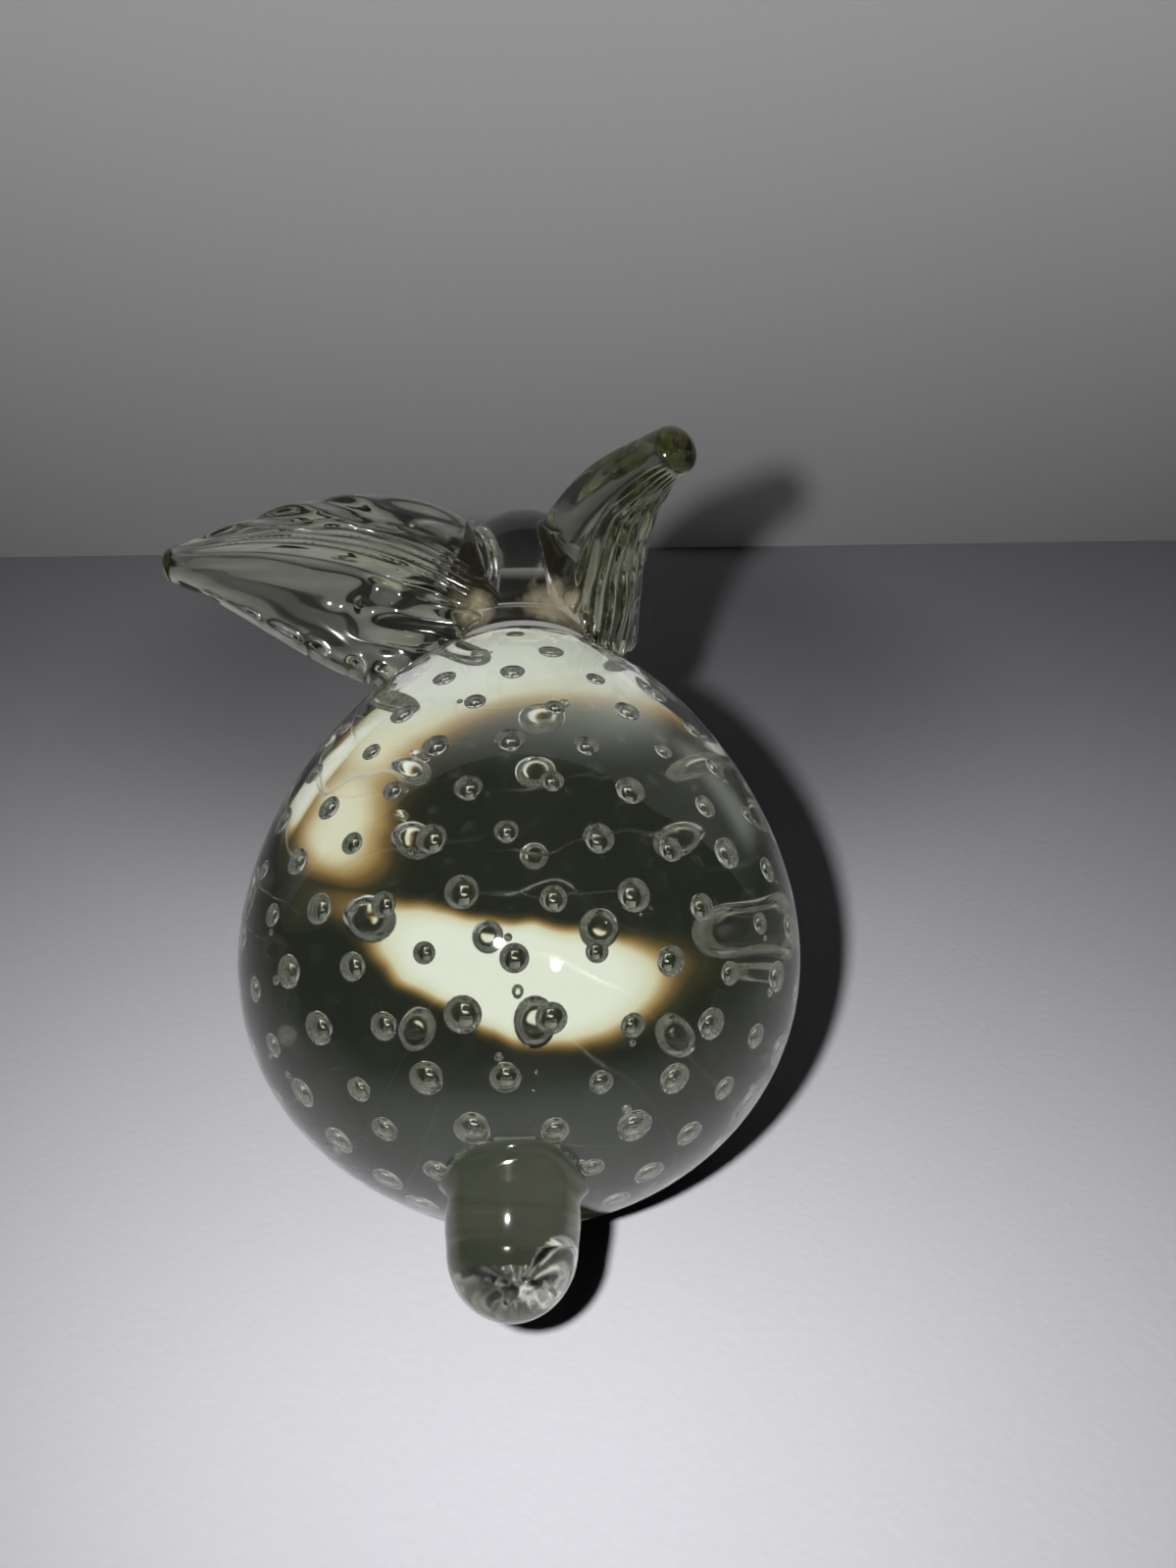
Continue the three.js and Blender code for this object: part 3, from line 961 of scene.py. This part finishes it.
def ear_shell(ear, relief):
    rings = [ear_skin(ear, relief, place, EAR_ANGLES) for place in np.linspace(0, 1, EAR_STEPS + 1)]
    tip, along = ear_frame(ear, 1.0)[:2]
    end_ring = rings[-1]
    for turn in np.linspace(0, math.pi / 2, EAR_END_STEPS, endpoint=False)[1:]:
        rise = math.sin(turn)
        reach = ear["tip_width"] / 3 * rise - ear["dimple"] * rise_between(rise, DIMPLE_START, 1.0)
        rings.append(tip + (end_ring - tip) * math.cos(turn) + along * reach)
    end = tip + along * (ear["tip_width"] / 3 - ear["dimple"])
    return (*closed_skin(np.array(rings), ear["root"], end), False)


def glass_middle(ear, relief, place, share):
    """The point half-way through an ear's glass."""
    angle = math.acos(share)
    return ear_skin(ear, relief, place, np.array((angle, -angle))).mean(axis=0)


print("ears of", EAR_STEPS, "rings")

# %% [markdown]
# The root of each ear, and of the tail, takes the shape of the glass that it was pressed on. The egg and the
# head, grown by a hair's breadth, are used as cutting solids for that, and thrown away once all is cut.

# %% Tools for the roots
CUTTER_ROWS = 90
BODY_CUTTER_SIDES = 160
HEAD_CUTTER_SIDES = 128
HEAD_CUTTER_REACH = 16.0
CUT_CREASE = math.radians(50)


def grown_body(points):
    return body_excess(points) - FUSE


def grown_head(points):
    return head_excess(points) - FUSE


def carve(piece, *cutters):
    """Takes the cutting solids away from a piece and keeps the result as its mesh."""
    for cutter in cutters:
        step = piece.modifiers.new("carve", "BOOLEAN")
        step.operation = "DIFFERENCE"
        step.solver = "MANIFOLD"
        step.object = cutter
    shaped = piece.evaluated_get(bpy.context.evaluated_depsgraph_get())
    carved = bpy.data.meshes.new_from_object(shaped)
    piece.modifiers.clear()
    piece.data = carved
    carved.shade_smooth()
    carved.set_sharp_from_angle(angle=CUT_CREASE)


cutting_rows = np.linspace(0, math.pi, CUTTER_ROWS)[1:-1]
body_cutter = add_piece(
    "body_cutter",
    [star_shell(BODY_CENTRE, BODY_AXIS, cutting_rows, BODY_CUTTER_SIDES, grown_body, BODY_REACH)],
    drawn_finish,
)
head_cutter = add_piece(
    "head_cutter",
    [star_shell(HEAD_CENTRE, -BODY_AXIS, cutting_rows, HEAD_CUTTER_SIDES, grown_head, HEAD_CUTTER_REACH)],
    drawn_finish,
)
print("cutters ready")

# %% [markdown]
# The left ear flops out sideways. A narrow band of fine ridges runs from its root to its tip with a crease
# below it. The upper lobe is smooth and full by the root and pleated by the tip. The lower lobe is hollow,
# with curls by the root, and its rim is rolled into a rippled bead. One stray bubble sits in it. The list of
# heights says how far each form stands out, in millimetres.

# %% The left ear
ear_finish = dusty_glass(
    "ear_glass",
    (0.95, 0.97, 0.90, 1),
    (0.90, 0.93, 0.83, 1),
    ripple=0.00002,
    wear=0.12,
    haze=0.09,
    joints=DUSTY_JOINTS,
    tint=OLIVE,
)
left_ear = {
    "root": NAPE + np.array((-4.0, -2.3, 4.5)),
    "start": direction(178, 20),
    "end": direction(176, -3),
    "back": np.array((0.0, -0.85, 0.53)),
    "length": 42.0,
    "width": 25.0,
    "root_width": 12.0,
    "tip_width": 3.6,
    "thickness": 6.0,
    "fold": 4.0,
    "widest": 0.36,
    "knob": 0.25,
    "dimple": 0.0,
}
LEFT_HEIGHTS = {
    "ridges": 0.65,
    "crease": -1.4,
    "upper lobe": 1.5,
    "pleats": 1.0,
    "hollow": -1.7,
    "curls": 1.2,
    "lower bead": 2.0,
    "upper bead": 1.3,
}
STRAY_BUBBLE_PLACE = 0.40
STRAY_BUBBLE_SHARE = 0.22
STRAY_BUBBLE_RADIUS = 0.85
STRAY_BUBBLE_FLATNESS = (0.7, 0.7)


def left_relief(place, share, face):
    """A share of 1 is the lower rim, and -1 the upper rim."""
    band = -0.2 - 0.4 * place
    below = share - band
    root_side = 1 - rise_between(place, 0.3, 0.55)
    edge = np.sign(face) * np.sqrt(np.abs(face))
    curls = np.sin(8 * share + 18 * place + 2.0 * np.sin(6 * share - 11 * place))
    forms = {
        "ridges": hump(below, 0.0, 0.17) * ridged(below / 0.08),
        "crease": hump(below, 0.27, 0.08),
        "upper lobe": hump(below, -0.4, 0.2) * math.sin(math.pi * place),
        "pleats": hump(below, -0.3, 0.25) * (1 - root_side) * np.sin(15 * share + 33 * place),
        "hollow": hump(below, 0.7, 0.28) * rise_between(place, 0.2, 0.45),
        "curls": curls * hump(below, 0.65, 0.33) * root_side,
    }
    outer = sum(LEFT_HEIGHTS[name] * form for name, form in forms.items())
    inner = 0.7 * np.sin(9 * share + 7 * place) + 0.35 * np.sin(19 * share - 13 * place)
    inner = inner * (1 - share**2) * (0.25 + 0.75 * root_side)
    ripple = 1 + 0.4 * math.sin(52 * place) + 0.2 * math.sin(87 * place)
    bead = LEFT_HEIGHTS["lower bead"] * ripple * hump(share, 0.92, 0.1)
    bead = (bead + LEFT_HEIGHTS["upper bead"] * hump(share, -0.93, 0.1)) * edge
    return (1 - place**3) * (np.where(face > 0, outer, inner) + bead * rise_between(place, 0.1, 0.3))


stray_middle = glass_middle(left_ear, left_relief, STRAY_BUBBLE_PLACE, STRAY_BUBBLE_SHARE)
stray_bubble = ball(
    stray_middle, STRAY_BUBBLE_RADIUS, left_ear["back"], STRAY_BUBBLE_FLATNESS, BUBBLE_SIDES
)
left = add_piece("left_ear", [ear_shell(left_ear, left_relief), stray_bubble], ear_finish)
carve(left, body_cutter, head_cutter)
print("left ear", len(left.data.polygons), "faces")

# %% [markdown]
# The right ear stands up and curls back at its tip. Deep, wavy ridges run down its back and meet at a
# round knob with a dimple in its end, where the glass was pinched off. Its inner flank is smooth and full,
# and its outer rim is frilled.

# %% The right ear
right_ear = {
    "root": NAPE + np.array((8.0, -0.85, -2.0)),
    "start": direction(80, 86),
    "end": direction(-49, 36),
    "back": np.array((0.15, -0.95, -0.1)),
    "length": 37.0,
    "width": 15.0,
    "root_width": 16.0,
    "tip_width": 5.2,
    "thickness": 6.5,
    "fold": 6.0,
    "widest": 0.36,
    "knob": 0.12,
    "dimple": 0.9,
}
RIGHT_RIDGE_WIDTH = 0.22
RIGHT_HEIGHTS = {"ridges": 1.3, "waves": 0.55, "flank": 0.9, "front": 0.3, "frill": 1.1}


def right_relief(place, share, face):
    """A share of 1 is the inner flank, and -1 the outer rim."""
    window = rise_between(share, -0.85, -0.65) * (1 - rise_between(share, 0.3, 0.5))
    edge = np.sign(face) * np.sqrt(np.abs(face))
    count = share / RIGHT_RIDGE_WIDTH + 0.6 * place + 0.5 * math.sin(7 * place)
    ridges = RIGHT_HEIGHTS["ridges"] * window * (ridged(count) - 0.5)
    waves = RIGHT_HEIGHTS["waves"] * window * np.sin(16 * place + 3 * share)
    flank = RIGHT_HEIGHTS["flank"] * hump(share, 0.7, 0.2)
    inner = RIGHT_HEIGHTS["front"] * (1 - share**2) * np.sin(6 * share + 5 * place)
    frill = RIGHT_HEIGHTS["frill"] * hump(share, -0.9, 0.12) * (1 + 0.6 * math.sin(34 * place)) * edge
    return (1 - place**4) * (np.where(face > 0, ridges + waves + flank, inner) + frill)


right = add_piece("right_ear", [ear_shell(right_ear, right_relief)], ear_finish)
carve(right, body_cutter, head_cutter)
print("right ear", len(right.data.polygons), "faces")

# %% [markdown]
# The tail is a short round-ended stub that droops from the back. Where it was pressed on, the soft glass
# spread into a wavy lip that follows the joint, so the lip's place is found from the egg at every turn. The
# shears that cut it off left a pinch under its end, with pleats that run out from the middle.

# %% The tail
TAIL_RADIUS = 6.8
TAIL_LENGTH = 12.5
TAIL_DROOP = math.radians(38)
TAIL_SEAT_ARC = 18.3
TAIL_ROOT_DEPTH = 5.0
TAIL_BULGE = 0.25
TAIL_LIP = 0.8
TAIL_LIP_REACH = 0.75
TAIL_SIDES = 320
TAIL_STEPS = 90
TAIL_END_STEPS = 60
PINCH_PLACE = 7.5
PINCH_DEPTH = 0.7
PINCH_REACH = 4.0
PINCH_PLEATS = 11
PINCH_EYE = 0.6
PLEAT_SHARE = 0.5

lengths, away, along = outline_by_length(0.0)
TAIL_SEAT = (
    BODY_CENTRE
    + BODY_BACK * np.interp(TAIL_SEAT_ARC, lengths, away)
    + BODY_AXIS * np.interp(TAIL_SEAT_ARC, lengths, along)
)
TAIL_AXIS = np.array((0.0, -math.cos(TAIL_DROOP), -math.sin(TAIL_DROOP)))
TAIL_UP = np.cross(TAIL_AXIS, ACROSS)


def pinch(turn, place):
    """How deep the underside is pressed in, by the turn and by the way from the joint along the skin."""
    aside = TAIL_RADIUS * (turn - 1.5 * math.pi)
    ahead = place - PINCH_PLACE
    away = np.hypot(aside, ahead)
    pleats = ridged(PINCH_PLEATS * np.arctan2(aside, ahead) / (2 * math.pi))
    pleats = PLEAT_SHARE * pleats * hump(away, 0, PINCH_REACH) * (1 - hump(away, 0, PINCH_EYE))
    return PINCH_DEPTH * (hump(away, 0, PINCH_REACH / 2) + pleats)


def tail_shell():
    turn = np.linspace(0, 2 * math.pi, TAIL_SIDES, endpoint=False)
    ring = np.outer(np.cos(turn), ACROSS) + np.outer(np.sin(turn), TAIL_UP)
    edge = TAIL_SEAT + ring * TAIL_RADIUS

    def is_out_of_body(place):
        return body_excess(edge + np.outer(place, TAIL_AXIS)) > 0

    ends = (np.full(TAIL_SIDES, place) for place in (-TAIL_ROOT_DEPTH, TAIL_LENGTH))
    _, joint = find_edge(*ends, is_out_of_body)
    lip_place = joint + 0.7 + 0.45 * np.sin(3 * turn + 0.6) + 0.3 * np.sin(5 * turn)
    lip_height = TAIL_LIP * (1 + 0.4 * np.sin(2 * turn + 1.0))
    straight = TAIL_LENGTH - TAIL_RADIUS
    slim = TAIL_RADIUS - TAIL_BULGE
    rings = []
    for place in np.linspace(-TAIL_ROOT_DEPTH, straight, TAIL_STEPS):
        lip = lip_height * hump(place, lip_place, TAIL_LIP_REACH)
        bulge = TAIL_BULGE * math.sin(math.pi * max(place, 0) / straight)
        girth = slim + bulge + lip - pinch(turn, place)
        rings.append(TAIL_SEAT + TAIL_AXIS * place + ring * girth[:, None])
    for step in range(1, TAIL_END_STEPS):
        fall = math.pi / 2 * step / TAIL_END_STEPS
        end = TAIL_SEAT + TAIL_AXIS * straight
        reach = slim - pinch(turn, straight + TAIL_RADIUS * fall)
        rise = TAIL_RADIUS * math.sin(fall) * reach / slim
        rings.append(end + np.outer(rise, TAIL_AXIS) + ring * (reach * math.cos(fall))[:, None])
    ends = (TAIL_SEAT - TAIL_AXIS * TAIL_ROOT_DEPTH, TAIL_SEAT + TAIL_AXIS * TAIL_LENGTH)
    return (*closed_skin(np.array(rings), *ends), False)


tail = add_piece("tail", [tail_shell()], drawn_finish)
carve(tail, body_cutter)
print("tail", len(tail.data.polygons), "faces")

for cutter in (body_cutter, head_cutter):
    bpy.data.objects.remove(cutter)

# %% [markdown]
# The tail is a small lens too. The streaks of light that it throws on the table, most of them to its right,
# are put back in the same way: by a card that lies on the table under its end. A dimmer card lies under the
# flat of the egg.

# %% The light under the glass
TAIL_CARD_EDGE = oblong(-10, 12, -60, -31)
BASE_CARD_EDGE = oblong(-16, 16, -18, 18)
UNLIT_TABLE = (0.03, 0.03, 0.026, 1)


def thrown_light(name, start, stop, least, pale):
    """Streaks of light on the table that grow from a start to a stop across it, in millimetres."""
    material, place, output = new_material(name)
    across = place.part("X") * (1 / MM)
    level = (across.eased(start, stop) * 0.7 + place.noise(260.0, 2.0) * 0.6 + least).clamped()
    glow_in(level.blended(UNLIT_TABLE, pale), output)
    return material


def table_card(name, edge, material):
    light_card(name, [(MM * across, MM * forward, low / 2) for across, forward in edge], material)


tail_light = thrown_light("tail_light", start=-6.0, stop=4.0, least=-0.1, pale=(1, 1, 0.96, 1))
base_light = thrown_light("base_light", start=-40.0, stop=40.0, least=-0.3, pale=(0.5, 0.52, 0.47, 1))
table_card("tail_card", TAIL_CARD_EDGE, tail_light)
table_card("base_card", BASE_CARD_EDGE, base_light)
print("light under the tail and the egg")

# %% [markdown]
# The pieces were laid on while all of the glass glowed, so no polished surface is left inside their joints:
# only a thin film of seeds and soot, with clear glass between. At the ears the film is almost clear, with a
# little brown dust. At the tail and the neck it is mostly painted shade, dull olive at the tail and dark at
# the neck, standing for the shadowed table that is seen through the glass there. Each film also glows
# faintly, a painted light for the little light that reaches it through the glass, because light bent by glass
# is left out here.

# %% The films and painted shade in the joints
SEED_SCALE = 160.0
CLEAR_FILM = (0.98, 0.985, 0.97, 1)


def film(name, dark, pale, cover):
    """A film between two shades, which glows faintly in its shade as painted light, and the share of the
    joint that it covers.
    """
    material, place, output = new_material(name)
    seeds = place.noise(SEED_SCALE, 4.0)
    clear = place.node("ShaderNodeBsdfTransparent", {}, {"Color": CLEAR_FILM})
    shade = seeds.blended(dark, pale)
    # Painted light: the film glows faintly in its own shade.
    dull = place.node(
        "ShaderNodeBsdfPrincipled",
        {},
        {"Base Color": shade, "Roughness": 0.8, "Emission Color": shade, "Emission Strength": 1.0},
    )
    share = (seeds + 0.5).clamped() * cover
    place.node("ShaderNodeMixShader", {}, {0: share, 1: clear, 2: dull}).joined_to(output)
    return material


# Painted shade: the tail and neck films are dark, standing for the shadowed table seen through the glass;
# the ear film is mostly clear, with brown dust.
tail_film_and_shade = film("tail_joint_and_shade", (0.022, 0.025, 0.014, 1), (0.075, 0.082, 0.058, 1), cover=0.9)
ear_film = film("ear_joint", (0.05, 0.045, 0.03, 1), (0.20, 0.175, 0.12, 1), cover=0.06)
neck_film_and_shade = film("neck_joint_and_shade", (0.010, 0.010, 0.008, 1), (0.03, 0.028, 0.022, 1), cover=0.9)
print("films for the tail, the ears and the neck")

# %% [markdown]
# A film goes on both sides of each joint. The faces that lie against another piece are found by their
# distance to it and by facing it. The film is also carried a little way out of the joint as painted shade,
# under the chin and under the tail, where its edge runs up to the right, so that these parts look dark.

# %% Fuse the joints
FUSED_REACH = 0.15
FACING = -0.7
CHIN_SHADE_REACH = 4.5
TAIL_SHADE_REACH = 6.2
TAIL_SHADE_SLOPE = 3.2
TAIL_SHADE_BEND = 0.4


def face_centres(mesh):
    centres = np.empty(3 * len(mesh.polygons))
    mesh.polygons.foreach_get("center", centres)
    return centres.reshape(-1, 3)


def coat(mesh, finish, numbers):
    """Gives a finish to the faces with these numbers."""
    if finish.name not in mesh.materials:
        mesh.materials.append(finish)
    for number in numbers:
        mesh.polygons[number].material_index = mesh.materials.find(finish.name)


def touching_faces(mesh, other):
    """Numbers of the faces of a mesh that lie against another one."""
    corners = [corner.co for corner in other.vertices]
    tree = BVHTree.FromPolygons(corners, [face.vertices for face in other.polygons])
    spread = np.array(corners)
    centres = face_centres(mesh)
    near = (centres > spread.min(axis=0) - FUSED_REACH * MM).all(axis=1)
    near &= (centres < spread.max(axis=0) + FUSED_REACH * MM).all(axis=1)
    found = []
    for number in np.flatnonzero(near):
        face = mesh.polygons[number]
        _, normal, _, _ = tree.find_nearest(face.center, FUSED_REACH * MM)
        if normal is not None and normal.dot(face.normal) < FACING:
            found.append(face.index)
    return found


def chin_shade_faces(mesh):
    points = face_centres(mesh) / MM
    return np.flatnonzero((body_excess(points) < CHIN_SHADE_REACH) & (points[:, 1] > HEAD_CENTRE[1]))


def tail_shade_faces(mesh):
    offset = face_centres(mesh) / MM - TAIL_SEAT
    edge = TAIL_SHADE_REACH - TAIL_SHADE_SLOPE * np.maximum(offset @ ACROSS - TAIL_SHADE_BEND, 0)
    return np.flatnonzero((offset @ TAIL_UP < 0) & (offset @ TAIL_AXIS < edge))


for piece, other, finish in (
    (tail, body, tail_film_and_shade),
    (head, body, neck_film_and_shade),
    (left, body, ear_film),
    (left, head, ear_film),
    (right, body, ear_film),
    (right, head, ear_film),
):
    coat(piece.data, finish, touching_faces(piece.data, other.data))
    coat(other.data, finish, touching_faces(other.data, piece.data))
# Painted shade: the film reaches out under the tail and under the chin, so that these parts look dark.
coat(tail.data, tail_film_and_shade, tail_shade_faces(tail.data))
coat(head.data, neck_film_and_shade, chin_shade_faces(head.data))
print("joints fused within", FUSED_REACH, "mm")

# %% [markdown]
# Last, every piece is tied to the body it moves with and to the solids it stands for.

# %% Tie the pieces to the part
for piece, slot, nodes in (
    (body, "bubble_glass", ("core_gather", "casing_gather")),
    (head, "head_glass", ("head",)),
    (left, "drawn_glass", ("left_ear",)),
    (right, "drawn_glass", ("right_ear",)),
    (tail, "drawn_glass", ("tail",)),
):
    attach(piece, "root")
    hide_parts(*nodes)
print("pieces tied to the part")
